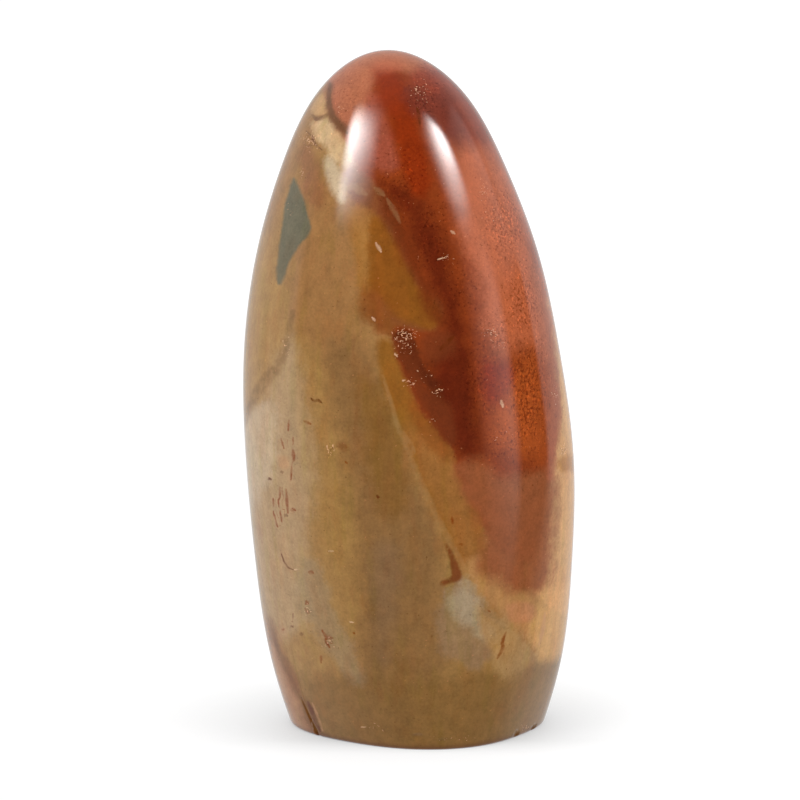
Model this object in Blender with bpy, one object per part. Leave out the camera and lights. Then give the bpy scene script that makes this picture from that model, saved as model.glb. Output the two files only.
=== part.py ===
"""A jasper freeform: one polished stone, tall and round-topped, that stands on a flat sawn base.

Metres, +Z up. The origin is on the underside, in the middle of the stone's width and depth.
Its front, with the red band, looks along -Y.
"""

import math

import bmesh
import bpy
import numpy as np
from mathutils import Matrix, Vector

MM = 0.001

# The stone's outline, in millimetres, at a few heights. The axis is the middle of each level cut,
# and the half width and half depth are measured from it. The top leans a little to the left.
HEIGHTS = (0, 12, 32, 53, 73, 92, 108, 120, 129.4)
AXIS_X = (1.6, 1.4, 0.9, 0.2, -1.2, -2.1, -2.9, -3.4, -3.9)
AXIS_Y = (1.2, 1.0, 0.6, 0.2, 0.3, 0.8, 1.6, 2.2, 2.6)
HALF_WIDTH = (24.7, 28.1, 30.4, 31.2, 29.9, 26.4, 20.9, 14.8, 0)
HALF_DEPTH = (20.8, 23.8, 25.8, 26.3, 25.3, 22.5, 17.9, 12.6, 0)

# Broad flats that the grinding wheel left: compass angle in degrees (0 is right, 90 is back),
# half angle, height, half height and depth, in millimetres.
FLATS = (
    (231, 38, 0, 32, 3.6),
    (329, 28, 0, 28, 2.3),
    (118, 36, 12, 45, 2.6),
    (40, 34, 70, 34, 1.6),
    (282, 36, 92, 28, 0.8),
)

# How finely the outline is followed
COLUMNS = 72
RINGS = 42

# The sawn edge is broken by a small round
EDGE_ROUND = 0.7 * MM
SHARP_EDGE = math.radians(35)

# A healed crack opens as a groove at the lower left. Its foot and tip are a compass angle and a
# height each, and it narrows by this share on the way up.
GROOVE_FOOT = (213.4, -0.6)
GROOVE_TIP = (208.2, 8.0)
GROOVE_WIDTH = 1.1
GROOVE_DEPTH = 0.8
GROOVE_TAPER = 0.85
GROOVE_STEPS = 6

# Chips near the sawn edge: compass angle, height, radius and depth. Each is a ball stretched
# outwards, sideways and upwards by these factors.
CHIP_STRETCH = (1, 1.3, 0.8)
CHIPS = (
    (270, 3.0, 0.9, 0.30),
    (281, 2.1, 0.8, 0.25),
    (324, 0.9, 0.9, 0.45),
    (341, 0.7, 1.0, 0.50),
)

# The middle colour of the polished stone
COLOUR = (0.27, 0.13, 0.06, 1)
ROUGHNESS = 0.12


def clear_scene():
    for thing in list(bpy.data.objects):
        bpy.data.objects.remove(thing, do_unlink=True)


def through(values, height):
    """A smooth curve through the values at HEIGHTS, read at the given heights."""
    x = np.array(HEIGHTS, float)
    y = np.array(values, float)
    gap = np.diff(x)
    slope = np.diff(y) / gap
    # A natural cubic spline: its bend at each inner height follows from the slopes on both sides.
    count = len(x)
    lhs = np.eye(count)
    rhs = np.zeros(count)
    for i in range(1, count - 1):
        lhs[i, i - 1 : i + 2] = gap[i - 1], 2 * (gap[i - 1] + gap[i]), gap[i]
        rhs[i] = 6 * (slope[i] - slope[i - 1])
    bend = np.linalg.solve(lhs, rhs)
    k = np.clip(np.searchsorted(x, height) - 1, 0, count - 2)
    after = height - x[k]
    before = x[k + 1] - height
    cubes = (bend[k] * before**3 + bend[k + 1] * after**3) / (6 * gap[k])
    left = (y[k] / gap[k] - bend[k] * gap[k] / 6) * before
    right = (y[k + 1] / gap[k] - bend[k + 1] * gap[k] / 6) * after
    return cubes + left + right


def half(values, height):
    """A half width. Its square is what is smooth, so the outline closes in a round top."""
    return np.sqrt(np.maximum(through(np.square(values), height), 0))


def surface(angle, height):
    """The surface point at a compass angle in degrees and a height in millimetres."""
    turn = np.radians(angle)
    reach = np.ones_like(turn * height)
    width = half(HALF_WIDTH, height)
    for middle, spread, level, tall, depth in FLATS:
        aside = (np.asarray(angle) - middle + 180) % 360 - 180
        press = np.exp(-((aside / spread) ** 2) - ((height - level) / tall) ** 2)
        reach = reach - depth / max(HALF_WIDTH) * press
    x = through(AXIS_X, height) + width * reach * np.cos(turn)
    y = through(AXIS_Y, height) + half(HALF_DEPTH, height) * reach * np.sin(turn)
    return np.stack([x, y, height + 0 * turn], axis=-1)


def outward(angle, height):
    """The level direction that faces out of the surface there, and the surface point itself."""
    level = max(height, 0.0)
    beside = surface(angle + 1, level) - surface(angle - 1, level)
    here = surface(angle, level)
    return Vector((beside[1], -beside[0], 0)).normalized(), Vector((here[0], here[1], height))


def body_mesh():
    """The stone as level rings, closer together towards the top, closed by a fan there."""
    lift = np.sin(np.linspace(0, math.pi / 2, RINGS + 1)) * HEIGHTS[-1]
    angles = np.arange(COLUMNS) * 360 / COLUMNS
    shape = bmesh.new()
    rings = []
    for height in lift[:-1]:
        points = surface(angles, np.full(COLUMNS, height))
        rings.append([shape.verts.new(point * MM) for point in points])
    for low, high in zip(rings, rings[1:]):
        for i in range(COLUMNS):
            j = (i + 1) % COLUMNS
            shape.faces.new((low[i], low[j], high[j], high[i]))
    top = shape.verts.new(surface(np.array([0.0]), np.array([lift[-1]]))[0] * MM)
    for i in range(COLUMNS):
        shape.faces.new((rings[-1][i], rings[-1][(i + 1) % COLUMNS], top))
    shape.faces.new(list(reversed(rings[0])))
    mesh = bpy.data.meshes.new("jasper_stone")
    shape.to_mesh(mesh)
    shape.free()
    return mesh


def as_cutter(name, mesh):
    thing = bpy.data.objects.new(name, mesh)
    thing.hide_render = True
    thing.display_type = "WIRE"
    bpy.context.collection.objects.link(thing)
    return thing


def groove_cutter():
    """A slender wedge with its edge inside the stone. It runs out to nothing at the tip."""
    shape = bmesh.new()
    rows = []
    for share in np.linspace(0, 1, GROOVE_STEPS):
        angle = GROOVE_FOOT[0] + share * (GROOVE_TIP[0] - GROOVE_FOOT[0])
        height = GROOVE_FOOT[1] + share * (GROOVE_TIP[1] - GROOVE_FOOT[1])
        out, here = outward(angle, height)
        side = out.cross(Vector((0, 0, 1)))
        size = 1 - GROOVE_TAPER * share**2
        inner = here - out * GROOVE_DEPTH * size
        lips = [here + out * GROOVE_DEPTH + side * sign * GROOVE_WIDTH * size for sign in (-1, 1)]
        rows.append([shape.verts.new(point * MM) for point in (inner, *lips)])
    for low, high in zip(rows, rows[1:]):
        for i in range(3):
            j = (i + 1) % 3
            shape.faces.new((low[i], low[j], high[j], high[i]))
    shape.faces.new(rows[0])
    shape.faces.new(rows[-1])
    bmesh.ops.recalc_face_normals(shape, faces=shape.faces)
    mesh = bpy.data.meshes.new("groove_cutter")
    shape.to_mesh(mesh)
    shape.free()
    return as_cutter("groove_cutter", mesh)


def chip_cutter(number, angle, height, radius, depth):
    """A flattened ball that bites a shallow chip out of the low edge."""
    out, here = outward(angle, height)
    centre = here + out * (radius - depth)
    shape = bmesh.new()
    place = Matrix.Translation(centre * MM) @ Matrix.Rotation(math.radians(angle), 4, "Z")
    bmesh.ops.create_icosphere(
        shape,
        subdivisions=2,
        radius=radius * MM,
        matrix=place @ Matrix.Diagonal((*CHIP_STRETCH, 1)),
    )
    mesh = bpy.data.meshes.new(f"chip_cutter_{number}")
    shape.to_mesh(mesh)
    shape.free()
    return as_cutter(f"chip_cutter_{number}", mesh)


def jasper():
    material = bpy.data.materials.new("jasper")
    material.use_nodes = True
    shader = material.node_tree.nodes["Principled BSDF"]
    shader.inputs["Base Color"].default_value = COLOUR
    shader.inputs["Roughness"].default_value = ROUGHNESS
    shader.inputs["Metallic"].default_value = 0.0
    return material


def cut(stone, cutter):
    step = stone.modifiers.new(cutter.name, "BOOLEAN")
    step.operation = "DIFFERENCE"
    step.solver = "EXACT"
    step.object = cutter


def main():
    clear_scene()
    stone = bpy.data.objects.new("jasper_stone", body_mesh())
    bpy.context.collection.objects.link(stone)
    stone.data.materials.append(jasper())
    stone.data.shade_smooth()
    edge = stone.modifiers.new("edge_round", "BEVEL")
    edge.width = EDGE_ROUND
    edge.segments = 2
    edge.limit_method = "ANGLE"
    edge.angle_limit = SHARP_EDGE
    cut(stone, groove_cutter())
    for number, chip in enumerate(CHIPS):
        cut(stone, chip_cutter(number, *chip))


main()
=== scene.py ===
import math

import bpy
import numpy as np
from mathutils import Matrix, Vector, noise


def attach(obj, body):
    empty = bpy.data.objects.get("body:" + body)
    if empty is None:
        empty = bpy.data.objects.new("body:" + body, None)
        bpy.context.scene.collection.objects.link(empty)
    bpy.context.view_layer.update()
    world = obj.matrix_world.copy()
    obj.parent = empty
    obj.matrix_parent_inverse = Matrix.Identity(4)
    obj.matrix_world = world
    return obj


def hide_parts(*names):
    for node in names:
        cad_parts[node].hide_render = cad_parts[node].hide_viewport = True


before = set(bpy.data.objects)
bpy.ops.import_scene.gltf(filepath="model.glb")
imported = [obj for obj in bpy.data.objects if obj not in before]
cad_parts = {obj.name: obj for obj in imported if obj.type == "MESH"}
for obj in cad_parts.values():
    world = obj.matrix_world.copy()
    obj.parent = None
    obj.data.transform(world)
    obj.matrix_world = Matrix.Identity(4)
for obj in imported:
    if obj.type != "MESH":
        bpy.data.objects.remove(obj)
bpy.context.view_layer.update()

MM = 0.001

# The stone's outline in millimetres at a few heights, as in the frame: the middle of each level
# cut, then the half width and half depth measured from it.
HEIGHTS = (0, 12, 32, 53, 73, 92, 108, 120, 129.4)
AXIS_X = (1.6, 1.4, 0.9, 0.2, -1.2, -2.1, -2.9, -3.4, -3.9)
AXIS_Y = (1.2, 1.0, 0.6, 0.2, 0.3, 0.8, 1.6, 2.2, 2.6)
HALF_WIDTH = (24.7, 28.1, 30.4, 31.2, 29.9, 26.4, 20.9, 14.8, 0)
HALF_DEPTH = (20.8, 23.8, 25.8, 26.3, 25.3, 22.5, 17.9, 12.6, 0)

# Broad flats from the grinding wheel: compass angle (0 is right, 90 is back), half angle, height,
# half height and depth.
FLATS = (
    (231, 38, 0, 32, 3.6),
    (329, 28, 0, 28, 2.3),
    (118, 36, 12, 45, 2.6),
    (40, 34, 70, 34, 1.6),
    (282, 36, 92, 28, 0.8),
)

# The mesh is finer on the front half, where the pattern is richest, and below this height in
# millimetres, where the groove and the chips are. The sawn edge has a small round.
FRONT_COLUMNS = 200
BACK_COLUMNS = 84
ROWS = 288
FOOT_ROWS = 12
FOOT_HEIGHT = 9
EDGE_ROUND = 0.7
EDGE_ROWS = 4

# A healed crack opens as a groove at the lower left: compass angle and height of its foot and
# tip, its width and depth in millimetres, how much it narrows on the way up and over what share
# of its length it runs out. More columns follow it, from one angle to another in small steps.
GROOVE_FOOT = (213.4, -0.6)
GROOVE_TIP = (208.2, 8.0)
GROOVE_WIDTH = 1.1
GROOVE_DEPTH = 0.8
GROOVE_TAPER = 0.85
GROOVE_END = 0.1
GROOVE_COLUMNS = (205, 216, 0.35)

# Chips near the sawn edge: compass angle, height, radius and depth. Each is a ball stretched
# sideways and upwards by these factors.
CHIP_STRETCH = (1.3, 0.8)
CHIPS = (
    (270, 3.0, 0.9, 0.30),
    (281, 2.1, 0.8, 0.25),
    (324, 0.9, 0.9, 0.45),
    (341, 0.7, 1.0, 0.50),
)

# The camera, as in the photograph: pixels across the picture and to a millimetre at the stone's
# middle, how far it looks down, its distance and the point it looks at in millimetres, the width
# of its sensor, and how far it sees in metres
PICTURE = 800
PIXELS_PER_MM = 5.3
ELEVATION = math.radians(12)
DISTANCE = 1000
AIM = (-1.7, 0.0, 63.26)
SENSOR = 36
FAR = 20

# The room. Directions are an azimuth from the camera's side, positive to the right, and an
# elevation, in degrees. The surround is dark round one of them, seen from the stone. The dark
# has a sharp edge up to a height off the level, and a softer and softer one above and below.
SURROUND = 0.75
DARK_SIDE = (15, 6)
DARK_LEVEL = 0.04
DARK_EDGE = 0.04
DARK_SOFTER = 1.1
DARK_BAND = 0.15

# The table, in metres: half its size, how it glows beside the stone and this far behind it, and
# how much less this far to the left, a painted shade. The stone shades it within a short reach,
# from in front of the stone to beside it by a growing share.
FLOOR = 3.0
FLOOR_COLOUR = (0.12, 0.12, 0.12, 1)
FLOOR_ROUGHNESS = 0.6
FLOOR_GLOSS = 0.2
FLOOR_GLOW = (0.94, 1.0)
FLOOR_BACK = 0.8
FLOOR_SIDE_SHADE = 0.92
FLOOR_LEFT = 0.06
SHADE_REACH = 0.026
SHADE_RAYS = 8
SHADE_FROM = (-0.022, -0.012)
SHADE_SHARE = (0.2, 0.6)

# The lamps: name, azimuth, elevation, distance, width, height, strength, how fast it fades
# towards the camera's side, and roll in degrees. They aim at the stone this far up, and their
# outer edge fades over this share of their width.
LAMPS = (
    ("key_left", -35.5, 42, 1.2, 0.76, 0.92, 46.0, 1.6, 7),
    ("key_right", 54, 36.5, 1.2, 0.46, 0.8, 64.0, 2.0, 33),
    ("band_right", 60, 5, 1.6, 0.95, 2.2, 1.9, 1.0, 0),
    ("panel_right", 92, 26, 1.6, 1.1, 0.9, 1.0, 0.3, 0),
)
LAMP_AIM = 0.075
LAMP_RIM = 0.3

# How far round an outline and round a line the markings feel it, in pixels, over what distance
# a line's reach runs out, and how wide its ends are beside its middle
REACH = 40
LINE_REACH = 9
LINE_FADE = 2
LINE_END = 0.45

# Behind this depth in millimetres the bands slant, right and up, more and more until they have
# turned, and swirl by a share of that with lumps of this size, the same in every run
BEHIND = 1
BEHIND_TURN = 8
SLANT = (0.35, 0.75)
SWIRL = 1.1
SWIRL_SIZE = 26
SWIRL_SEED = 1

# The stone's own colour, out of 255 as it looks in even light. The markings follow, from the
# lowest layer up: name, colour, how many of the photograph's pixels the edge is soft, how many it
# wanders, how much the marking covers, and its outline in those pixels, x to the right and y
# down. Where one runs off the stone it goes on behind. A few are painted light and shade, not the
# stone's colour: the red shadow is painted shade, and the arch and the two rim patches are painted
# reflections of the bright surround.
GROUND = (153, 115, 66)
MARKINGS = (
    ("brown_high", (143, 102, 58), 26, 8, 0.8, (
        (280, 90), (316, 84), (326, 120), (322, 160), (300, 176), (270, 230), (250, 200),
    )),
    ("brown_streaks", (147, 105, 63), 26, 10, 0.9, (
        (296, 168), (328, 176), (352, 205), (362, 250), (372, 310), (374, 380), (352, 392), (322, 356),
        (288, 310), (288, 240),
    )),
    ("left_olive", (156, 118, 67), 16, 6, 0.8, (
        (225, 440), (225, 330), (246, 262), (262, 250), (280, 290), (284, 338), (268, 380), (250, 406),
    )),
    ("left_cream", (165, 135, 99), 22, 8, 0.8, (
        (225, 440), (250, 414), (268, 388), (286, 340), (298, 350), (312, 430), (316, 490), (306, 560),
        (314, 612), (296, 634), (280, 640), (262, 630), (240, 560), (225, 490),
    )),
    # Painted reflection: the bright surround seen at the left rim, as a paler patch.
    ("left_rim_reflection", (184, 160, 130), 16, 8, 0.7, (
        (225, 440), (252, 412), (270, 402), (276, 430), (274, 470), (262, 490), (240, 520), (225, 500),
    )),
    ("middle_olive", (130, 94, 55), 30, 12, 0.9, (
        (326, 352), (350, 340), (384, 370), (402, 430), (414, 475), (440, 530), (446, 600),
        (436, 690), (400, 740), (352, 740), (356, 650), (358, 560), (346, 460),
    )),
    ("middle_brown", (124, 84, 36), 24, 10, 0.7, (
        (360, 380), (388, 396), (402, 440), (410, 482), (398, 520), (376, 500), (362, 440),
    )),
    ("middle_mauve", (122, 94, 68), 26, 10, 0.5, (
        (370, 550), (386, 540), (400, 560), (396, 610), (384, 660), (372, 620),
    )),
    ("bottom_olive", (126, 91, 48), 26, 10, 0.8, (
        (262, 700), (330, 672), (400, 680), (470, 672), (540, 660), (600, 650), (600, 790), (262, 790),
    )),
    ("cream_high", (188, 146, 98), 8, 5, 0.8, (
        (311, 108), (321, 96), (329, 98), (329, 111), (321, 116), (313, 115),
    )),
    ("cream_low", (200, 168, 126), 9, 5, 0.85, (
        (313, 123), (327, 119), (340, 128), (345, 145), (344, 166), (334, 160), (325, 147), (316, 137),
    )),
    ("cream_grey", (202, 182, 152), 10, 6, 0.7, (
        (325, 158), (334, 160), (344, 178), (343, 200), (333, 192), (325, 174),
    )),
    ("brown_smear", (134, 84, 50), 12, 6, 0.7, (
        (300, 150), (310, 148), (318, 158), (324, 178), (322, 204), (312, 206), (302, 186),
    )),
    ("cloud", (118, 60, 30), 14, 8, 0.9, (
        (345, 172), (354, 164), (366, 168), (386, 182), (402, 200), (416, 232), (430, 270), (446, 292),
        (454, 318), (446, 340), (424, 346), (404, 340), (384, 334), (370, 322), (364, 300), (374, 280),
        (380, 250), (370, 220), (352, 206),
    )),
    ("blue_grey", (94, 90, 70), 4, 2, 0.95, (
        (294, 177), (299, 187), (304, 202), (311, 225), (309, 233), (298, 247), (289, 265),
        (281, 285), (276, 279), (278, 256), (281, 233), (285, 203), (290, 184),
    )),
    ("ochre_top", (153, 103, 47), 12, 5, 0.8, (
        (352, 206), (366, 208), (375, 222), (374, 262), (372, 290), (358, 284), (352, 240),
    )),
    ("ochre_tongue", (130, 76, 23), 10, 5, 0.95, (
        (371, 220), (382, 221), (396, 240), (407, 262), (419, 283), (437, 301), (442, 318),
        (433, 331), (416, 327), (402, 321), (391, 314), (381, 301), (371, 284), (369, 250),
    )),
    ("red_patch", (134, 78, 32), 20, 7, 0.75, (
        (362, 294), (380, 296), (392, 314), (402, 326), (396, 340), (380, 330), (364, 316),
    )),
    ("ochre_band", (134, 84, 26), 10, 3, 0.9, (
        (377, 346), (386, 338), (396, 346), (404, 366), (418, 400), (440, 432), (460, 454), (466, 490),
        (484, 512), (486, 556), (500, 578), (522, 594), (548, 590), (580, 560), (600, 640),
        (563, 655), (535, 656), (504, 626), (477, 594), (453, 552), (431, 506), (412, 460),
        (395, 414), (380, 376),
    )),
    ("ochre_middle", (148, 98, 49), 26, 8, 0.8, (
        (404, 430), (440, 432), (460, 456), (478, 515), (480, 560), (460, 560), (436, 508), (416, 466),
    )),
    ("ochre_edge", (134, 74, 26), 12, 6, 0.75, (
        (410, 400), (424, 412), (442, 430), (456, 452), (444, 462), (428, 446), (414, 422),
    )),
    ("ochre_low", (175, 126, 76), 12, 6, 0.9, (
        (466, 566), (480, 556), (492, 560), (506, 566), (518, 574), (534, 578), (552, 574), (566, 600),
        (560, 630), (540, 646), (522, 636), (500, 618), (484, 600), (472, 584),
    )),
    ("pale_foot", (196, 148, 87), 14, 6, 0.9, (
        (527, 626), (534, 610), (546, 598), (562, 588), (580, 590), (572, 642), (556, 658), (541, 660),
        (533, 646),
    )),
    ("right_cream", (206, 153, 93), 7, 4, 0.9, (
        (530, 310), (534, 344), (538, 404), (534, 456), (528, 500),
        (526, 540), (528, 575), (540, 600), (560, 612), (620, 606), (620, 300), (560, 270),
    )),
    ("grey_patch", (142, 111, 79), 10, 8, 0.85, (
        (443, 598), (455, 580), (469, 580), (480, 598), (504, 626), (496, 644), (488, 662),
        (474, 668), (460, 658), (442, 652), (436, 624),
    )),
    ("grey_light", (172, 158, 132), 16, 11, 0.5, (
        (456, 584), (468, 582), (478, 598), (486, 616), (495, 634), (482, 641), (468, 628), (457, 612),
        (449, 600),
    )),
    ("grey_ochre", (174, 128, 68), 12, 8, 0.6, (
        (476, 608), (490, 614), (506, 634), (500, 652), (486, 642),
    )),
    ("foot_ochre", (176, 138, 90), 14, 8, 0.6, (
        (500, 612), (516, 626), (534, 650), (528, 666), (506, 678), (492, 664), (504, 644),
    )),
    ("grey_left", (144, 120, 89), 12, 8, 0.6, (
        (303, 562), (318, 564), (328, 588), (338, 620), (354, 648), (362, 684), (346, 674),
        (326, 648), (308, 620), (296, 600),
    )),
    ("red", (130, 55, 20), 8, 3.5, 1.0, (
        (343, 128), (350, 150), (358, 170), (372, 182), (388, 200), (398, 222), (407, 254),
        (420, 284), (438, 301), (443, 316), (434, 331), (410, 328), (394, 327), (393, 345),
        (402, 372), (414, 398), (424, 416), (441, 431), (453, 453), (458, 477), (466, 490),
        (476, 506), (484, 528), (498, 548), (516, 560), (532, 560), (542, 540), (545, 510),
        (549, 480), (557, 440), (560, 405), (557, 370), (553, 330),
        (550, 290), (600, 240), (560, 90), (460, 10), (360, 10), (318, 50), (328, 82), (330, 105),
        (335, 121),
    )),
    ("red_deep", (85, 24, 7), 26, 10, 0.85, (
        (378, 182), (404, 186), (430, 212), (452, 270), (464, 330), (473, 372), (477, 404), (480, 452),
        (460, 456), (440, 424), (430, 392), (432, 350), (446, 318), (430, 285), (414, 240), (396, 208),
    )),
    ("red_rim", (104, 42, 14), 14, 6, 0.8, (
        (380, 196), (396, 206), (412, 240), (424, 276), (438, 298), (446, 318), (434, 322), (418, 292),
        (404, 264), (393, 238), (384, 216),
    )),
    ("maroon", (84, 34, 14), 8, 12, 0.85, (
        (392, 334), (406, 329), (418, 344), (420, 362), (434, 376), (444, 394), (436, 402), (420, 384),
        (404, 364),
    )),
    ("red_edge", (106, 47, 20), 12, 7, 0.85, (
        (394, 334), (404, 346), (418, 372), (432, 392), (450, 404), (456, 430), (452, 446), (442, 430),
        (428, 416), (416, 396), (403, 370), (394, 346),
    )),
    ("red_soft", (112, 52, 24), 14, 6, 0.7, (
        (420, 338), (444, 330), (456, 346), (440, 362), (424, 358),
    )),
    ("cap", (168, 99, 68), 12, 6, 0.9, (
        (326, 80), (330, 108), (340, 130), (350, 142), (362, 120), (372, 84), (392, 70), (420, 74),
        (440, 60), (420, 20), (340, 30),
    )),
    ("cap_shade", (104, 66, 40), 8, 3, 0.85, (
        (328, 82), (333, 86), (332, 104), (337, 116), (347, 126), (346, 136), (336, 129), (328, 114),
        (326, 100),
    )),
    ("cap_mauve", (148, 74, 54), 14, 8, 0.8, (
        (372, 96), (384, 104), (392, 130), (398, 156), (398, 167), (388, 172), (374, 166), (366, 140),
        (366, 112),
    )),
    ("burnt", (128, 41, 8), 14, 7, 0.9, (
        (376, 72), (400, 74), (412, 100), (422, 138), (432, 182), (418, 196), (404, 176), (392, 132),
        (382, 104),
    )),
    ("plum", (134, 56, 36), 20, 10, 0.85, (
        (410, 76), (440, 64), (470, 92), (488, 130), (494, 160), (470, 158), (446, 134), (426, 122),
        (416, 102),
    )),
    ("plum_dark", (98, 42, 30), 14, 12, 0.6, (
        (404, 84), (424, 92), (444, 92), (456, 110), (466, 134), (474, 156), (458, 154), (442, 130),
        (424, 122), (410, 112),
    )),
    # Painted reflection: the bright surround above, seen on the top as a pink patch with a sharp lower
    # edge.
    ("arch_reflection", (172, 88, 58), 10, 3, 0.45, (
        (370, 67), (378, 61), (390, 59), (402, 63), (404, 69), (392, 72), (376, 72),
    )),
    ("orange_right", (183, 97, 60), 30, 12, 0.85, (
        (456, 150), (494, 150), (520, 190), (530, 240), (548, 300), (550, 350), (530, 350),
        (500, 350), (482, 300), (462, 220),
    )),
    ("streak", (168, 79, 30), 26, 8, 0.75, (
        (526, 350), (540, 354), (548, 400), (546, 458), (530, 458), (512, 452),
        (492, 440), (498, 404), (510, 372),
    )),
    # Painted shade: a darker patch where the right lamp's reflection would otherwise show.
    ("red_shadow", (126, 24, 4), 20, 10, 0.55, (
        (484, 364), (508, 364), (512, 384), (500, 404), (484, 400),
    )),
    ("mauve_red", (142, 80, 46), 18, 8, 0.95, (
        (456, 468), (480, 460), (510, 476), (556, 476), (555, 540), (552, 578), (536, 594),
        (508, 588), (480, 570), (484, 530), (464, 498),
    )),
    ("salmon_spot", (185, 124, 83), 7, 4, 0.75, (
        (507, 606), (520, 601), (534, 605), (537, 616), (526, 623), (511, 621),
    )),
    ("olive_corner", (166, 110, 36), 8, 5, 0.9, (
        (558, 462), (567, 456), (592, 452), (592, 470), (568, 472), (560, 468),
    )),
    # Painted reflection: the bright surround seen along the right rim, as a lighter band over the red.
    ("right_rim_reflection", (160, 86, 54), 8, 4, 0.7, (
        (528, 250), (548, 300), (556, 350), (561, 405), (558, 440), (553, 480), (547, 470), (549, 400),
        (544, 350), (534, 300),
    )),
    ("lower_pink", (164, 114, 77), 12, 6, 0.8, (
        (255, 610), (272, 632), (284, 660), (298, 692), (312, 724), (316, 750), (280, 750), (250, 700),
    )),
    ("lower_mauve", (101, 56, 7), 10, 4, 0.75, (
        (268, 616), (273, 628), (281, 648), (290, 668), (300, 690), (307, 699), (312, 712),
        (320, 730), (328, 738), (316, 738), (306, 722), (299, 702), (289, 682), (279, 660), (270, 638),
    )),
    ("rust_mark", (112, 57, 24), 4, 2, 0.9, (
        (445, 543), (451, 549), (456, 561), (462, 574), (459, 581), (450, 584), (441, 585),
        (442, 580), (450, 577), (451, 570), (448, 556),
    )),
    ("rust_blot", (112, 62, 28), 5, 4, 0.6, (
        (336, 444), (343, 442), (348, 447), (344, 451), (338, 449),
    )),
    ("orange_blot", (186, 128, 84), 6, 4, 0.35, (
        (279, 457), (287, 456), (289, 466), (284, 469), (279, 465),
    )),
)

# Tints that vary over the stone: size in millimetres, how many times taller, noise offset, from
# which noise level, how much and the tint
TINTS = (
    (4.0, 2.5, 11, 0.48, 0.45, (1.0, 0.84, 0.72, 1)),
    (2.6, 8.0, 21, 0.50, 0.60, (0.90, 0.97, 0.76, 1)),
    (2.0, 6.0, 31, 0.52, 0.50, (1.0, 0.88, 0.90, 1)),
)

# Lines of one kind: name, colour, how much they cover, and each line's width and points
LINES = (
    ("crack_lines", (104, 66, 38), 0.8, (
        (4.4, ((330, 84), (329, 94), (329, 105), (332, 115), (337, 122), (347, 133))),
        (3.8, ((330, 113), (322, 118), (316, 119), (312, 115))),
        (1.8, ((306, 131), (312, 136), (316, 145), (322, 150))),
    )),
    ("dark_lines", (90, 36, 4), 0.85, (
        (3.8, ((454, 336), (448, 342), (440, 350))),
        (1.4, ((281, 553), (284, 561), (288, 568), (294, 570))),
        (4.0, ((308, 702), (314, 716), (320, 731))),
        (2.4, ((311, 398), (314, 401), (318, 400), (322, 403))),
        (3.0, ((417, 108), (419, 116), (420, 125))),
        (3.6, ((285, 515), (287, 516))),
        (3.0, ((269, 478), (271, 480))),
        (3.4, ((281, 472), (283, 472))),
        (3.4, ((301, 633), (302, 635))),
        (3.0, ((291, 626), (293, 627))),
        (1.2, ((293, 612), (293, 620))),
        (3.4, ((377, 496), (379, 497))),
    )),
    ("olive_lines", (104, 72, 32), 0.5, (
        (9.0, (
            (293, 312), (289, 332), (285, 350), (278, 366), (265, 381), (254, 397), (248, 411),
            (242, 432),
        )),
    )),
    ("rust_lines", (124, 54, 6), 0.85, (
        (3.0, ((452, 517), (453, 524))),
        (2.2, ((459, 545), (463, 544))),
        (3.0, ((506, 632), (502, 642), (503, 648), (497, 659))),
        (1.8, ((289, 419), (288, 432))),
        (1.6, ((281, 438), (284, 449))),
        (1.4, ((293, 436), (293, 444))),
        (3.0, ((293, 449), (294, 462))),
        (1.8, ((292, 464), (291, 480))),
        (2.0, ((280, 486), (280, 498))),
        (2.4, ((286, 489), (287, 502), (288, 514))),
        (1.6, ((273, 497), (274, 508))),
        (1.6, ((278, 498), (279, 507))),
        (1.6, ((273, 511), (276, 521))),
        (1.8, ((280, 511), (282, 523))),
        (1.8, ((292, 508), (296, 511))),
        (1.8, ((276, 522), (278, 528))),
        (3.6, ((309, 572), (313, 573))),
        (3.4, ((306, 601), (308, 604))),
        (2.2, ((305, 608), (309, 614))),
        (2.4, ((282, 629), (284, 630))),
        (2.6, ((322, 630), (326, 636), (333, 638))),
        (2.0, ((325, 640), (330, 648))),
        (2.2, ((321, 655), (321, 663))),
        (2.6, ((304, 421), (311, 424))),
        (2.0, ((345, 461), (348, 464))),
        (2.0, ((353, 632), (355, 634))),
        (2.4, ((488, 610), (490, 612))),
    )),
    ("salmon_and_glint_lines", (186, 134, 96), 0.55, (
        (3.4, ((545, 613), (543, 630), (539, 645))),
        # Along the groove at the lower left: a pale line that is partly a painted glint on its edge.
        (2.0, ((312, 702), (317, 715), (323, 731))),
    )),
    ("pale_lines", (174, 144, 96), 0.18, (
        (5.5, (
            (383, 376), (388, 392), (393, 408), (397, 424), (403, 438), (409, 452), (414, 466),
            (420, 481), (427, 495), (434, 511), (442, 527), (450, 542), (458, 556), (466, 572),
            (476, 590), (490, 608), (504, 625), (520, 641), (535, 655),
        )),
        (4.0, ((402, 430), (408, 440), (415, 452))),
        (7.0, ((344, 189), (354, 187), (366, 194))),
        (5.0, ((375, 188), (384, 195))),
        (4.4, ((387, 199), (395, 212), (400, 223))),
    )),
    ("white_lines", (214, 174, 136), 0.8, (
        (3.0, ((376, 243), (381, 252))),
        (2.8, ((501, 400), (503, 407))),
        (2.4, ((451, 231), (455, 234))),
        (1.2, ((437, 260), (442, 258))),
        (1.6, ((444, 258), (447, 257))),
        (2.2, ((372, 317), (375, 321))),
        (2.2, ((395, 353), (397, 357))),
        (2.2, ((402, 381), (405, 380))),
        (1.6, ((417, 370), (418, 372))),
        (1.6, ((328, 551), (334, 551))),
        (1.4, ((294, 570), (298, 569))),
        (1.4, ((349, 622), (354, 622))),
        (1.2, ((361, 727), (366, 727))),
    )),
)

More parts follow.
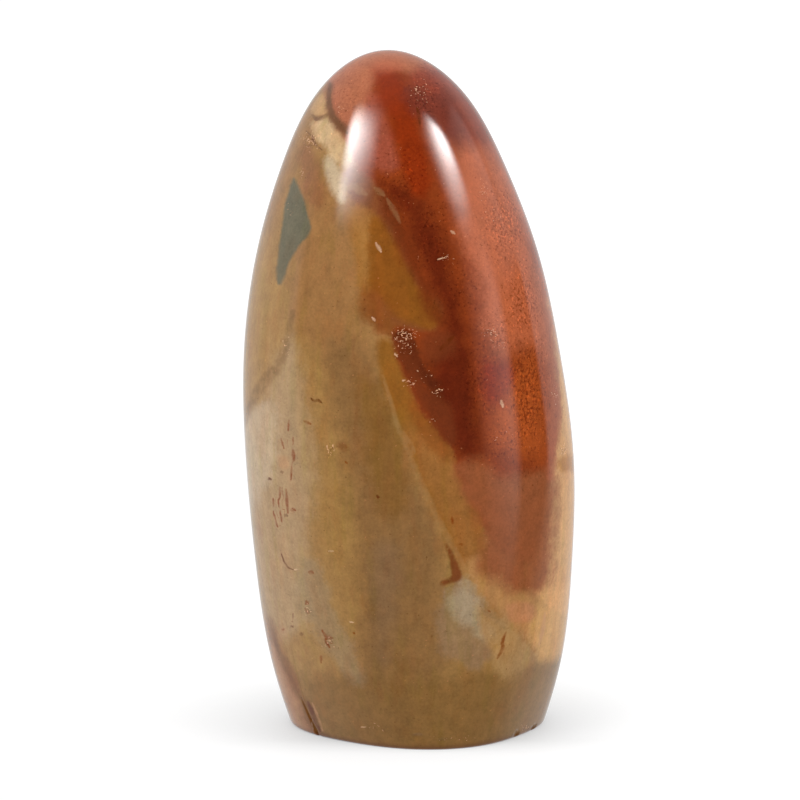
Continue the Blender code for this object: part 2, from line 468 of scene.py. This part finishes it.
# Clusters of flecks: x, y, half width, half height and how thick they lie
FLECKS = (
    (405, 334, 18, 9, 1.0), (406, 350, 16, 16, 0.72), (410, 384, 11, 7, 0.85), (437, 392, 9, 9, 0.85),
    (434, 420, 9, 7, 0.7), (490, 332, 13, 6, 0.9), (498, 342, 14, 10, 0.65), (484, 190, 10, 18, 0.65),
    (494, 216, 18, 16, 0.55), (418, 92, 16, 20, 0.7), (340, 110, 9, 10, 0.65), (331, 449, 8, 12, 0.85),
    (312, 140, 14, 16, 0.8), (555, 395, 7, 16, 0.65), (564, 450, 5, 9, 0.8), (308, 610, 5, 9, 0.8),
    (328, 641, 10, 11, 0.75), (452, 739, 60, 5, 0.6), (378, 727, 14, 7, 0.65), (526, 728, 14, 7, 0.75),
    (286, 346, 8, 24, 0.65), (446, 257, 9, 5, 0.9), (392, 298, 16, 10, 0.5), (384, 316, 16, 10, 0.55),
    (376, 396, 8, 12, 0.5), (292, 208, 8, 16, 0.65), (303, 170, 10, 14, 0.6), (500, 436, 12, 18, 0.55),
    (425, 375, 14, 14, 0.55),
)

# Sandy ground: x, y, half width, half height and how strong
SAND = (
    (505, 225, 24, 44, 0.9), (524, 300, 22, 50, 0.8), (528, 390, 24, 70, 1.0), (484, 380, 24, 56, 0.65),
    (498, 335, 22, 26, 0.8), (350, 100, 20, 24, 0.4), (404, 172, 26, 40, 0.6), (432, 232, 20, 40, 0.6),
    (505, 440, 34, 36, 0.6), (425, 98, 20, 28, 0.7), (460, 290, 24, 40, 0.5), (520, 470, 24, 20, 0.4),
)

# Grains: size in millimetres, noise offset, how much more of them the sand holds, from which
# noise level, how much they cover and how they change the colour below
GRAINS = (
    (0.5, 23, 0.2, 0.66, 0.8, (0.5, 0.4, 0.32, 1)),
    (0.55, 29, 0.18, 0.68, 0.7, (1.7, 1.6, 1.5, 1)),
)
GRAIN_EDGE = 0.14

# Sizes in millimetres and strengths. The edges of the markings wander slowly and quickly.
SLOW_SIZE = 5.0
SLOW_WANDER = 2.4
QUICK_SIZE = 0.7
QUICK_WANDER = 1.1

# The fine grain, the mottling and the upright streaks make the colour lighter and darker
GRAIN_SIZE = 0.5
GRAIN_SHADE = 0.6
GRAIN_SHADE_IN_SAND = 0.95
MOTTLE_SIZE = 2.4
MOTTLE_SHADE = 0.58
STREAK_SIZE = 1.5
STREAK_TALL = 9
STREAK_SHADE = 0.3
STREAK_SHADE_IN_RED = 0.08

# The tints set in over this much of the noise, and are this weak in the red
TINT_EDGE = 0.2
TINT_IN_RED = 0.25

# Lines: how far they wander and where their edge starts and ends, in half widths, over what
# nearness they set in, and then the noise that breaks them up: its size in millimetres, the
# range of it that does so, and how faint it leaves them at the least
LINE_WANDER = 1.6
LINE_EDGE = (1.9, 0.5)
LINE_NEAR = (0.1, 0.9)
LINE_BREAKS = 1.6
LINE_BREAK_EDGE = (0.35, 0.6)
LINE_FAINT = 0.45

# Flecks: ragged dark blots in the clusters, pale dots this far apart of which a small share
# shows, bent by a noise this much finer, and bright bent dashes that a noise breaks up, pale flecks
# with a painted glint from the pits. Dots and dashes are full within a share of their radius or
# width, the core. The blots' dark colour also paints the shade at the foot.
DARK_SPECK_AND_FOOT_SHADE = (86, 32, 8)
BLOT_SIZE = 0.8
BLOT_THICK = 0.6
BLOT_EDGE = (0.92, 1.15)
BLOT_COVER = 0.85
PALE_SPECK = (208, 136, 92)
DOT_APART = 0.8
DOT_RADIUS = 0.2
DOT_CORE = 0.5
DOT_SHARE = 0.05
DOT_BEND = 1.6
DOT_COVER = 0.35
BRIGHT_DASH_AND_GLINT = (226, 172, 128)
DASH_SIZE = 0.6
DASH_STRETCH = (1.5, 1.5, 0.7)
DASH_WIDTH = 0.045
DASH_CORE = 0.4
DASH_BREAKS = 0.48
DASH_THICK = 0.55
DASH_EDGE = (0.9, 0.98)
DASH_COVER = 0.9

# Painted contact shade: the sawn edge is darker near the table, from the first height in
# millimetres down to the second
FOOT_SHADE_FADE = (1.6, 0.2)
FOOT_SHADE_COVER = 0.55

# The polish: size and height of the slow waves, height of the grain and depth of the pits, in
# millimetres, then the roughness: at the least, how much it varies, and in the pits
WAVE_SIZE = 11.0
WAVES = 0.05
GRAIN_RELIEF = 0.004
PIT_DEPTH = 0.012
GLOSS = 0.06
GLOSS_SIZE = 3.0
GLOSS_VARIES = 0.06
PIT_ROUGHNESS = 0.3
REFRACTION = 1.54


def through(values, height):
    """A natural cubic spline through the values at HEIGHTS, read at the given heights."""
    x = np.array(HEIGHTS, float)
    y = np.array(values, float)
    gap = np.diff(x)
    slope = np.diff(y) / gap
    count = len(x)
    lhs = np.eye(count)
    rhs = np.zeros(count)
    for i in range(1, count - 1):
        lhs[i, i - 1 : i + 2] = gap[i - 1], 2 * (gap[i - 1] + gap[i]), gap[i]
        rhs[i] = 6 * (slope[i] - slope[i - 1])
    bend = np.linalg.solve(lhs, rhs)
    k = np.clip(np.searchsorted(x, height) - 1, 0, count - 2)
    after = height - x[k]
    before = x[k + 1] - height
    cubes = (bend[k] * before**3 + bend[k + 1] * after**3) / (6 * gap[k])
    left = (y[k] / gap[k] - bend[k] * gap[k] / 6) * before
    right = (y[k + 1] / gap[k] - bend[k + 1] * gap[k] / 6) * after
    return cubes + left + right


def half(values, height):
    """A half width. Its square is what is smooth, so the outline closes in a round top."""
    return np.sqrt(np.maximum(through(np.square(values), height), 0))


def surface(angle, height):
    """The smooth surface at compass angles in degrees and heights in millimetres."""
    turn = np.radians(angle)
    reach = np.ones_like(turn * height)
    for middle, spread, level, tall, depth in FLATS:
        aside = (angle - middle + 180) % 360 - 180
        press = np.exp(-((aside / spread) ** 2) - ((height - level) / tall) ** 2)
        reach = reach - depth / max(HALF_WIDTH) * press
    x = through(AXIS_X, height) + half(HALF_WIDTH, height) * reach * np.cos(turn)
    y = through(AXIS_Y, height) + half(HALF_DEPTH, height) * reach * np.sin(turn)
    return np.stack([x, y, height + 0 * turn], axis=-1)


def camera_axes():
    """Forward, right and up of the camera, and where it stands, in millimetres."""
    forward = np.array([0, math.cos(ELEVATION), -math.sin(ELEVATION)])
    right = np.array([1.0, 0.0, 0.0])
    up = np.cross(right, forward)
    return forward, right, up, np.array(AIM) - DISTANCE * forward


def in_picture(points):
    """Where points fall in the photograph, in its pixels, x to the right and y down."""
    forward, right, up, eye = camera_axes()
    away = points - eye
    scale = PIXELS_PER_MM * DISTANCE / (away @ forward)
    return PICTURE / 2 + scale * (away @ right), PICTURE / 2 - scale * (away @ up)


def carved(angles, height, radius):
    """How deep the groove and the chips go at compass angles on one level, in millimetres."""
    share = (height - GROOVE_FOOT[1]) / (GROOVE_TIP[1] - GROOVE_FOOT[1])
    middle = GROOVE_FOOT[0] + share * (GROOVE_TIP[0] - GROOVE_FOOT[0])
    size = max(1 - GROOVE_TAPER * share**2, 0) * np.clip((1 - share) / GROOVE_END, 0, 1)
    aside = np.abs(np.radians(angles - middle)) * radius
    depth = GROOVE_DEPTH * np.maximum(size - aside / (GROOVE_WIDTH / 2), 0)
    for angle, level, ball, bite in CHIPS:
        across = np.radians(angles - angle) * radius / (ball * CHIP_STRETCH[0])
        upward = (height - level) / (ball * CHIP_STRETCH[1])
        cap = np.sqrt(np.maximum(1 - across**2 - upward**2, 0))
        depth = np.maximum(depth, ball * cap - (ball - bite))
    return depth


def stone_grid():
    """Rows of surface points from the base's edge to just below the top."""
    front = np.linspace(180, 360, FRONT_COLUMNS, endpoint=False)
    back = np.linspace(0, 180, BACK_COLUMNS, endpoint=False)
    angles = np.unique(np.concatenate([back, front, np.arange(*GROOVE_COLUMNS)]))
    lift = np.sin(np.linspace(0, math.pi / 2, ROWS + 1))[:-1]
    levels = EDGE_ROUND + (HEIGHTS[-1] - EDGE_ROUND) * lift
    foot = np.linspace(EDGE_ROUND, FOOT_HEIGHT, FOOT_ROWS + 1, endpoint=False)[1:]
    levels = np.unique(np.concatenate([levels, foot]))
    middle = np.array([AXIS_X[0], AXIS_Y[0], 0.0])
    rings = []
    for step in range(EDGE_ROWS):
        turn = step / EDGE_ROWS * math.pi / 2
        rings.append((EDGE_ROUND * (1 - math.cos(turn)), EDGE_ROUND * (1 - math.sin(turn))))
    rings += [(level, 0.0) for level in levels]
    grid = []
    for level, inset in rings:
        ring = surface(angles, np.full(len(angles), level))
        away = ring - middle
        away[:, 2] = 0
        radius = np.linalg.norm(away, axis=1, keepdims=True)
        sink = inset + carved(angles, level, radius[:, 0])
        grid.append(ring - away / np.maximum(radius, 1e-6) * sink[:, None])
    return np.array(grid)


def stone_mesh():
    """The stone's mesh: rings of faces, a fan up to the top point, and one flat face below."""
    grid = stone_grid()
    rows, columns = grid.shape[:2]
    top = surface(np.array([0.0]), np.array([HEIGHTS[-1]]))
    points = np.concatenate([grid.reshape(-1, 3), top]) * MM
    i = np.arange(rows - 1)[:, None] * columns
    j = np.arange(columns)[None, :]
    after = (j + 1) % columns
    quads = np.stack([i + j, i + after, i + columns + after, i + columns + j], axis=-1)
    last = (rows - 1) * columns
    faces = quads.reshape(-1, 4).tolist()
    faces += [(last + k, last + (k + 1) % columns, len(points) - 1) for k in range(columns)]
    faces.append(list(range(columns))[::-1])
    mesh = bpy.data.meshes.new("stone")
    mesh.from_pydata(points, [], faces)
    mesh.shade_smooth()
    return mesh


def add_camera():
    data = bpy.data.cameras.new("camera")
    data.sensor_width = SENSOR
    data.lens = PIXELS_PER_MM * DISTANCE * SENSOR / PICTURE
    data.clip_end = FAR
    camera = bpy.data.objects.new("camera", data)
    forward, right, up, eye = camera_axes()
    camera.location = Vector(eye) * MM
    camera.rotation_euler = Vector(forward).to_track_quat("-Z", "Y").to_euler()
    bpy.context.scene.collection.objects.link(camera)
    bpy.context.scene.camera = camera


class Nodes:
    """A node tree, and short ways to add to it."""

    def __init__(self, tree):
        self.nodes = tree.nodes
        self.links = tree.links

    def put(self, socket, value):
        """Links a socket's value, or sets it if it is a plain number or colour."""
        if isinstance(value, bpy.types.NodeSocket):
            self.links.new(value, socket)
        else:
            socket.default_value = value

    def output(self, kind, name):
        return self.nodes.new(kind).outputs[name]

    def split(self, vector):
        node = self.nodes.new("ShaderNodeSeparateXYZ")
        self.links.new(vector, node.inputs[0])
        return node.outputs["X"], node.outputs["Y"], node.outputs["Z"]

    def math(self, operation, first, second=0.0, third=0.0):
        node = self.nodes.new("ShaderNodeMath")
        node.operation = operation
        for socket, value in zip(node.inputs, (first, second, third)):
            self.put(socket, value)
        return node.outputs[0]

    def vector(self, operation, first, second=(0, 0, 0), third=(0, 0, 0), output="Vector"):
        node = self.nodes.new("ShaderNodeVectorMath")
        node.operation = operation
        for socket, value in zip(node.inputs, (first, second, third)):
            self.put(socket, value)
        return node.outputs[output]

    def ramp(self, value, low, high, start=0.0, end=1.0, kind="SMOOTHSTEP"):
        """Goes from start to end while the value goes from low to high."""
        node = self.nodes.new("ShaderNodeMapRange")
        node.interpolation_type = kind
        if low > high:
            low, high, start, end = high, low, end, start
        self.put(node.inputs["Value"], value)
        names = ("From Min", "From Max", "To Min", "To Max")
        for name, number in zip(names, (low, high, start, end)):
            node.inputs[name].default_value = number
        return node.outputs["Result"]


def direction(azimuth, elevation):
    """A unit direction: azimuth 0 is towards the camera's side, positive to the right."""
    a, e = math.radians(azimuth), math.radians(elevation)
    return Vector((math.sin(a) * math.cos(e), -math.cos(a) * math.cos(e), math.sin(e)))


def softbox(name, azimuth, elevation, distance, width, height, strength, fade, roll):
    """A soft lamp, seen as brightest near its outer edge. It fades towards the camera's side by
    this power, and towards its top and bottom as well."""
    data = bpy.data.lights.new(name, "AREA")
    data.shape = "RECTANGLE"
    data.size = width
    data.size_y = height
    data.energy = strength * width * height * math.pi
    data.use_nodes = True
    tree = Nodes(data.node_tree)
    x, y, _ = tree.split(tree.output("ShaderNodeNewGeometry", "Parametric"))
    inner, outer = (1, 0) if azimuth < 0 else (0, 1)
    across = tree.ramp(x, 0, 1, inner, outer, kind="LINEAR")
    bell = tree.ramp(tree.math("PINGPONG", y, 0.5), 0, 0.5)
    fading = tree.math("POWER", tree.math("MULTIPLY", across, bell), fade)
    rim = tree.ramp(across, 1, 1 - LAMP_RIM)
    tree.put(tree.nodes["Emission"].inputs["Strength"], tree.math("MULTIPLY", fading, rim))
    lamp = bpy.data.objects.new(name, data)
    target = Vector((0, 0, LAMP_AIM))
    lamp.location = target + direction(azimuth, elevation) * distance
    lamp.rotation_euler = (target - lamp.location).to_track_quat("-Z", "Y").to_euler()
    lamp.rotation_euler.rotate_axis("Z", math.radians(roll))
    bpy.context.scene.collection.objects.link(lamp)


def add_world():
    """A white surround that is dark on the camera's side, where the room is."""
    world = bpy.data.worlds.new("studio")
    world.use_nodes = True
    tree = Nodes(world.node_tree)
    background = tree.nodes["Background"]
    background.inputs["Color"].default_value = (1, 1, 1, 1)
    around = tree.output("ShaderNodeTexCoord", "Generated")
    towards = tree.vector("DOT_PRODUCT", around, direction(*DARK_SIDE), output="Value")
    _, _, z = tree.split(around)
    off_level = tree.math("ABSOLUTE", z)
    soft = tree.ramp(off_level, DARK_BAND, 1, DARK_EDGE, DARK_SOFTER, kind="LINEAR")
    fade = tree.ramp(tree.math("DIVIDE", towards, soft), -1, 1, SURROUND, DARK_LEVEL)
    seen = tree.math("MAXIMUM", fade, tree.output("ShaderNodeLightPath", "Is Camera Ray"))
    tree.put(background.inputs["Strength"], seen)
    bpy.context.scene.world = world


def floor_material():
    """White that glows by itself, so it stays even, that the stone shades where they meet, and
    with a painted shade towards the left.
    """
    material = bpy.data.materials.new("floor")
    material.use_nodes = True
    tree = Nodes(material.node_tree)
    shader = tree.nodes["Principled BSDF"]
    shader.inputs["Base Color"].default_value = FLOOR_COLOUR
    shader.inputs["Roughness"].default_value = FLOOR_ROUGHNESS
    shader.inputs["Specular IOR Level"].default_value = FLOOR_GLOSS
    shader.inputs["Emission Color"].default_value = (1, 1, 1, 1)
    x, y, _ = tree.split(tree.output("ShaderNodeTexCoord", "Object"))
    glow = tree.ramp(y, 0, FLOOR_BACK, *FLOOR_GLOW, kind="LINEAR")
    # Painted shade: the table glows less towards the left of the stone.
    side = tree.ramp(x, -FLOOR_LEFT, 0, FLOOR_SIDE_SHADE, 1, kind="LINEAR")
    shade = tree.nodes.new("ShaderNodeAmbientOcclusion")
    shade.samples = SHADE_RAYS
    shade.inputs["Distance"].default_value = SHADE_REACH
    share = tree.ramp(y, *SHADE_FROM, *SHADE_SHARE, kind="LINEAR")
    darker = tree.math("SUBTRACT", shade.outputs["AO"], 1)
    contact = tree.math("MULTIPLY_ADD", darker, share, 1)
    even = tree.math("MULTIPLY", glow, side)
    tree.put(shader.inputs["Emission Strength"], tree.math("MULTIPLY", even, contact))
    return material


def add_floor():
    """A white table. It glows a little more further back, as the lamps reach less far there."""
    mesh = bpy.data.meshes.new("floor")
    corners = [(-FLOOR, -FLOOR, 0), (FLOOR, -FLOOR, 0), (FLOOR, FLOOR, 0), (-FLOOR, FLOOR, 0)]
    mesh.from_pydata(corners, [], [(0, 1, 2, 3)])
    floor = bpy.data.objects.new("floor", mesh)
    bpy.context.scene.collection.objects.link(floor)
    floor.data.materials.append(floor_material())
    floor.visible_glossy = False


def smoothed(outline, steps=5):
    """A closed curve through the points of an outline, as points close together."""
    points = np.array(outline, float)
    before, after = np.roll(points, 1, axis=0), np.roll(points, -1, axis=0)
    later = np.roll(points, -2, axis=0)
    rows = []
    for t in np.arange(steps) / steps:
        bend = (2 * before - 5 * points + 4 * after - later) * t**2
        twist = (3 * points - before - 3 * after + later) * t**3
        rows.append(points + 0.5 * ((after - before) * t + bend + twist))
    return np.stack(rows, axis=1).reshape(-1, 2)


def inside_by(places, outline):
    """How far inside an outline each place lies, in pixels, and less than nothing outside it."""
    curve = smoothed(outline)
    ends = np.roll(curve, -1, axis=0)
    low, high = curve.min(axis=0) - REACH, curve.max(axis=0) + REACH
    near = ((places > low) & (places < high)).all(axis=1)
    result = np.full(len(places), -float(REACH))
    here = places[near]
    gap = np.full(len(here), float(REACH))
    within = np.zeros(len(here), bool)
    for start, end in zip(curve, ends):
        along = end - start
        share = np.clip((here - start) @ along / max(along @ along, 1e-9), 0, 1)
        gap = np.minimum(gap, np.linalg.norm(here - start - share[:, None] * along, axis=1))
        crosses = (start[1] > here[:, 1]) != (end[1] > here[:, 1])
        side = start[0] + (here[:, 1] - start[1]) * along[0] / (along[1] or 1e-9)
        within ^= crosses & (here[:, 0] < side)
    result[near] = np.where(within, gap, -gap)
    return result


def marking_places(points):
    """Where each point of the stone takes its markings from, in the photograph's pixels. On the
    front it is where the point is seen. Behind, the bands run on through the stone at a slant."""
    x, y = in_picture(points)
    behind = np.maximum(points[:, 1] - BEHIND, 0)
    run = PIXELS_PER_MM * behind**2 / (behind + BEHIND_TURN)
    noise.seed_set(SWIRL_SEED)
    lumps = [noise.noise_vector(Vector(point) / SWIRL_SIZE)[:2] for point in points]
    swirl = SWIRL * np.array(lumps)
    x = x + run * (SLANT[0] + swirl[:, 0])
    y = y - run * (SLANT[1] + swirl[:, 1])
    return np.stack([x, y], axis=1)


def beside(places, lines):
    """For each place, how far it lies beside the nearest of some lines and how far past its ends,
    both in half widths of the line there, and how near it is, from 1 close by to 0."""
    best = np.full(len(places), float(REACH))
    result = np.zeros((len(places), 3))
    result[:, :2] = REACH
    for width, points in lines:
        route = np.array(points, float)
        steps = np.diff(route, axis=0)
        lengths = np.linalg.norm(steps, axis=1)
        total = lengths.sum()
        done = 0.0
        for k, (start, step, length) in enumerate(zip(route, steps, lengths)):
            ahead = step / length
            away = places - start
            along = away @ ahead
            side = away @ np.array([-ahead[1], ahead[0]])
            past = np.maximum(-along, along - length)
            first, last = k == 0, k == len(steps) - 1
            reach = np.hypot(side, np.maximum(past, 0))
            share = np.clip((done + along) / total, 0, 1)
            bulge = LINE_END + (1 - LINE_END) * np.sin(math.pi * share)
            half_width = 0.5 * width * bulge
            open_end = ((along < 0) & first) | ((along > length) & last)
            over = np.where(open_end, np.maximum(past, 0), 0)
            offset = np.where(open_end, side, np.sign(side) * reach)
            closer = reach < best
            best[closer] = reach[closer]
            result[closer, 0] = (offset / half_width)[closer]
            result[closer, 1] = (over / half_width)[closer]
            done += length
    result[:, 2] = np.clip((LINE_REACH - best) / LINE_FADE, 0, 1)
    return result


def thickness(places, patches):
    """How thickly some patches lie at each place, from 0 to 1."""
    result = np.zeros(len(places))
    for x, y, width, height, share in patches:
        away = np.hypot((places[:, 0] - x) / width, (places[:, 1] - y) / height)
        result = np.maximum(result, share * np.exp(-(away**2)))
    return result


def add_markings(mesh):
    """Writes on each point how it lies to every marking, for the material to read."""
    points = np.empty(len(mesh.vertices) * 3)
    mesh.vertices.foreach_get("co", points)
    places = marking_places(points.reshape(-1, 3) / MM)
    for name, _, _, _, _, outline in MARKINGS:
        attribute = mesh.attributes.new(name, "FLOAT", "POINT")
        attribute.data.foreach_set("value", inside_by(places, outline))
    for name, _, _, lines in LINES:
        attribute = mesh.attributes.new(name, "FLOAT_VECTOR", "POINT")
        attribute.data.foreach_set("vector", beside(places, lines).ravel())
    for name, patches in (("flecked", FLECKS), ("sandy", SAND)):
        attribute = mesh.attributes.new(name, "FLOAT", "POINT")
        attribute.data.foreach_set("value", thickness(places, patches))


class Paint(Nodes):
    """The stone's node tree, which works in millimetres."""

    def __init__(self, tree):
        super().__init__(tree)
        self.place = self.vector("MULTIPLY", self.output("ShaderNodeTexCoord", "Object"), (1 / MM,) * 3)

    def noise(self, size, detail=2.0, stretch=(1, 1, 1), rough=0.5, shift=0):
        """Noise between 0 and 1 whose lumps are about this many millimetres across."""
        node = self.nodes.new("ShaderNodeTexNoise")
        node.inputs["Scale"].default_value = 1 / size
        node.inputs["Detail"].default_value = detail
        node.inputs["Roughness"].default_value = rough
        place = self.vector("DIVIDE", self.place, stretch)
        self.links.new(self.vector("ADD", place, (shift, shift, shift)), node.inputs["Vector"])
        return node.outputs["Fac"]

    def cells(self, size):
        """Scattered points about this many millimetres apart: how far off the nearest one is, in
        those units, and a number between 0 and 1 of its own. Noise bends what is drawn round them."""
        node = self.nodes.new("ShaderNodeTexVoronoi")
        node.inputs["Scale"].default_value = 1 / size
        bend = self.nodes.new("ShaderNodeTexNoise")
        bend.inputs["Scale"].default_value = DOT_BEND / size
        self.links.new(self.place, bend.inputs["Vector"])
        shift = self.vector("SUBTRACT", bend.outputs["Color"], (0.5, 0.5, 0.5))
        bent = self.vector("MULTIPLY_ADD", shift, (size, size, size), self.place)
        self.links.new(bent, node.inputs["Vector"])
        split = self.nodes.new("ShaderNodeSeparateColor")
        self.links.new(node.outputs["Color"], split.inputs[0])
        return node.outputs["Distance"], split.outputs["Red"]

    def attribute(self, name, output="Fac"):
        node = self.nodes.new("ShaderNodeAttribute")
        node.attribute_name = name
        return node.outputs[output]

    def blend(self, share, below, above, kind="MIX"):
        node = self.nodes.new("ShaderNodeMix")
        node.data_type = "RGBA"
        node.blend_type = kind
        self.put(node.inputs["Factor"], share)
        self.put(node.inputs["A"], below)
        self.put(node.inputs["B"], above)
        return node.outputs["Result"]

    def line(self, name, wander):
        """Where a kind of line covers the stone, from its attribute."""
        beside, past, near = self.split(self.attribute(name, "Vector"))
        side = self.math("ADD", beside, wander)
        first = self.math("MULTIPLY", side, side)
        off = self.math("SQRT", self.math("MULTIPLY_ADD", past, past, first))
        breaks = self.noise(LINE_BREAKS, 3.0, shift=13)
        broken = self.ramp(breaks, *LINE_BREAK_EDGE, LINE_FAINT, 1.0)
        reached = self.math("MULTIPLY", broken, self.ramp(near, *LINE_NEAR))
        return self.math("MULTIPLY", self.ramp(off, *LINE_EDGE), reached)

    def dots(self):
        """Scattered small spots: of some points, the share that shows."""
        off, chance = self.cells(DOT_APART)
        shows = self.math("GREATER_THAN", self.math("ADD", chance, DOT_SHARE), 1.0)
        return self.math("MULTIPLY", shows, self.ramp(off, DOT_RADIUS, DOT_CORE * DOT_RADIUS))

    def dashes(self, thick):
        """Short bent strokes: where a noise crosses its middle, broken up by another one."""
        wavy = self.noise(DASH_SIZE, 1.0, stretch=DASH_STRETCH, shift=41)
        off = self.math("ABSOLUTE", self.math("SUBTRACT", wavy, 0.5))
        stroke = self.ramp(off, DASH_WIDTH, DASH_CORE * DASH_WIDTH)
        chance = self.noise(DASH_BREAKS, 1.0, shift=47)
        broken = self.math("MULTIPLY_ADD", thick, DASH_THICK, chance)
        return self.math("MULTIPLY", stroke, self.ramp(broken, *DASH_EDGE))


def tone(red, green, blue):
    """A colour out of 255 as linear light."""
    parts = [value / 255 for value in (red, green, blue)]
    straight = [v / 12.92 if v <= 0.04045 else ((v + 0.055) / 1.055) ** 2.4 for v in parts]
    return (*straight, 1.0)


def lay_markings(paint, quick):
    """The markings over the stone's own colour, and where the red one covers it."""
    slow = paint.math("SUBTRACT", paint.noise(SLOW_SIZE, 3.0), 0.5)
    slowly = paint.math("MULTIPLY", slow, SLOW_WANDER)
    wander = paint.math("MULTIPLY_ADD", quick, QUICK_WANDER, slowly)
    colour = tone(*GROUND)
    masks = {}
    for name, shade, soft, wobble, cover, _ in MARKINGS:
        edge = paint.math("MULTIPLY_ADD", wander, wobble, paint.attribute(name))
        masks[name] = paint.ramp(edge, -0.5 * soft, 0.5 * soft, 0.0, cover)
        colour = paint.blend(masks[name], colour, tone(*shade))
    return colour, masks["red"]


def add_grain(paint, colour, grain, sandy, red):
    """Grain, mottling and upright streaks that make the colour lighter and darker."""
    mottle = paint.noise(MOTTLE_SIZE, 4.0, rough=0.6, shift=7)
    streak = paint.noise(STREAK_SIZE, 3.0, stretch=(1, 1, STREAK_TALL), shift=3)
    patterns = (
        (grain, paint.math("MULTIPLY_ADD", sandy, GRAIN_SHADE_IN_SAND, GRAIN_SHADE)),
        (mottle, MOTTLE_SHADE),
        (streak, paint.ramp(red, 0, 1, STREAK_SHADE, STREAK_SHADE_IN_RED)),
    )
    shade = 1.0
    for pattern, share in patterns:
        centred = paint.math("SUBTRACT", pattern, 0.5)
        shade = paint.math("MULTIPLY_ADD", centred, share, shade)
    return paint.blend(1.0, colour, shade, "MULTIPLY")


def add_tints(paint, colour, red):
    """Upright bands and smears in slightly different tints."""
    calm = paint.ramp(red, 0, 1, 1.0, TINT_IN_RED)
    for size, tall, shift, low, share, tint in TINTS:
        bands = paint.noise(size, 4.0, stretch=(1, 1, tall), rough=0.6, shift=shift)
        where = paint.math("MULTIPLY", paint.ramp(bands, low, low + TINT_EDGE, 0.0, share), calm)
        tinted = paint.blend(1.0, colour, tint, "MULTIPLY")
        colour = paint.blend(where, colour, tinted)
    return colour


def add_lines(paint, colour, quick):
    wander = paint.math("MULTIPLY", quick, LINE_WANDER)
    for name, shade, cover, _ in LINES:
        mask = paint.math("MULTIPLY", paint.line(name, wander), cover)
        colour = paint.blend(mask, colour, tone(*shade))
    return colour


def add_flecks(paint, colour, sandy, cluster, dashes):
    """Dark blots in the clusters, grains in the sand, pale dots, the dashes with their painted
    glint, and a painted contact shade at the foot.
    """
    ragged = paint.noise(BLOT_SIZE, 5.0, rough=0.75, shift=17)
    thick = paint.math("MULTIPLY_ADD", cluster, BLOT_THICK, ragged)
    blots = paint.ramp(thick, *BLOT_EDGE, 0.0, BLOT_COVER)
    colour = paint.blend(blots, colour, tone(*DARK_SPECK_AND_FOOT_SHADE))
    for size, shift, extra, low, cover, change in GRAINS:
        level = paint.math("MULTIPLY_ADD", sandy, extra, paint.noise(size, 2.0, shift=shift))
        grains = paint.ramp(level, low, low + GRAIN_EDGE, 0.0, cover)
        colour = paint.blend(grains, colour, paint.blend(1.0, colour, change, "MULTIPLY"))
    dots = paint.math("MULTIPLY", paint.dots(), DOT_COVER)
    colour = paint.blend(dots, colour, tone(*PALE_SPECK))
    # The bright dashes: pale flecks with a painted glint from the pits.
    colour = paint.blend(paint.math("MULTIPLY", dashes, DASH_COVER), colour, tone(*BRIGHT_DASH_AND_GLINT))
    # Painted contact shade: darker towards the sawn edge, where the stone meets the table.
    _, _, height = paint.split(paint.place)
    foot = paint.ramp(height, *FOOT_SHADE_FADE, 0.0, FOOT_SHADE_COVER)
    return paint.blend(foot, colour, tone(*DARK_SPECK_AND_FOOT_SHADE))


def polish(paint, shader, grain, pits):
    """A high gloss, dull in the pits, on slow waves, with the grain and the pits in relief."""
    rough = paint.math("MULTIPLY_ADD", paint.noise(GLOSS_SIZE, 3.0, shift=5), GLOSS_VARIES, GLOSS)
    rough = paint.math("MULTIPLY_ADD", pits, PIT_ROUGHNESS, rough)
    height = paint.math("MULTIPLY", paint.noise(WAVE_SIZE, 1.0, shift=2), WAVES)
    height = paint.math("MULTIPLY_ADD", grain, GRAIN_RELIEF, height)
    height = paint.math("MULTIPLY_ADD", pits, -PIT_DEPTH, height)
    bump = paint.nodes.new("ShaderNodeBump")
    bump.inputs["Distance"].default_value = MM
    paint.put(bump.inputs["Height"], height)
    paint.put(shader.inputs["Roughness"], rough)
    paint.put(shader.inputs["Normal"], bump.outputs["Normal"])
    shader.inputs["IOR"].default_value = REFRACTION


def jasper():
    material = bpy.data.materials.new("jasper")
    material.use_nodes = True
    paint = Paint(material.node_tree)
    shader = paint.nodes["Principled BSDF"]
    sandy = paint.attribute("sandy")
    cluster = paint.attribute("flecked")
    grain = paint.noise(GRAIN_SIZE, 3.0, rough=0.7)
    quick = paint.math("SUBTRACT", paint.noise(QUICK_SIZE, 3.0, rough=0.6), 0.5)
    dashes = paint.dashes(cluster)
    colour, red = lay_markings(paint, quick)
    colour = add_grain(paint, colour, grain, sandy, red)
    colour = add_tints(paint, colour, red)
    colour = add_lines(paint, colour, quick)
    colour = add_flecks(paint, colour, sandy, cluster, dashes)
    paint.put(shader.inputs["Base Color"], colour)
    polish(paint, shader, grain, dashes)
    return material


add_camera()
add_world()
add_floor()
for lamp in LAMPS:
    softbox(*lamp)

stone = bpy.data.objects.new("stone", stone_mesh())
bpy.context.scene.collection.objects.link(stone)
add_markings(stone.data)
stone.data.materials.append(jasper())
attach(stone, "root")
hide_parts("jasper_stone")

bpy.context.scene.view_settings.view_transform = "Standard"
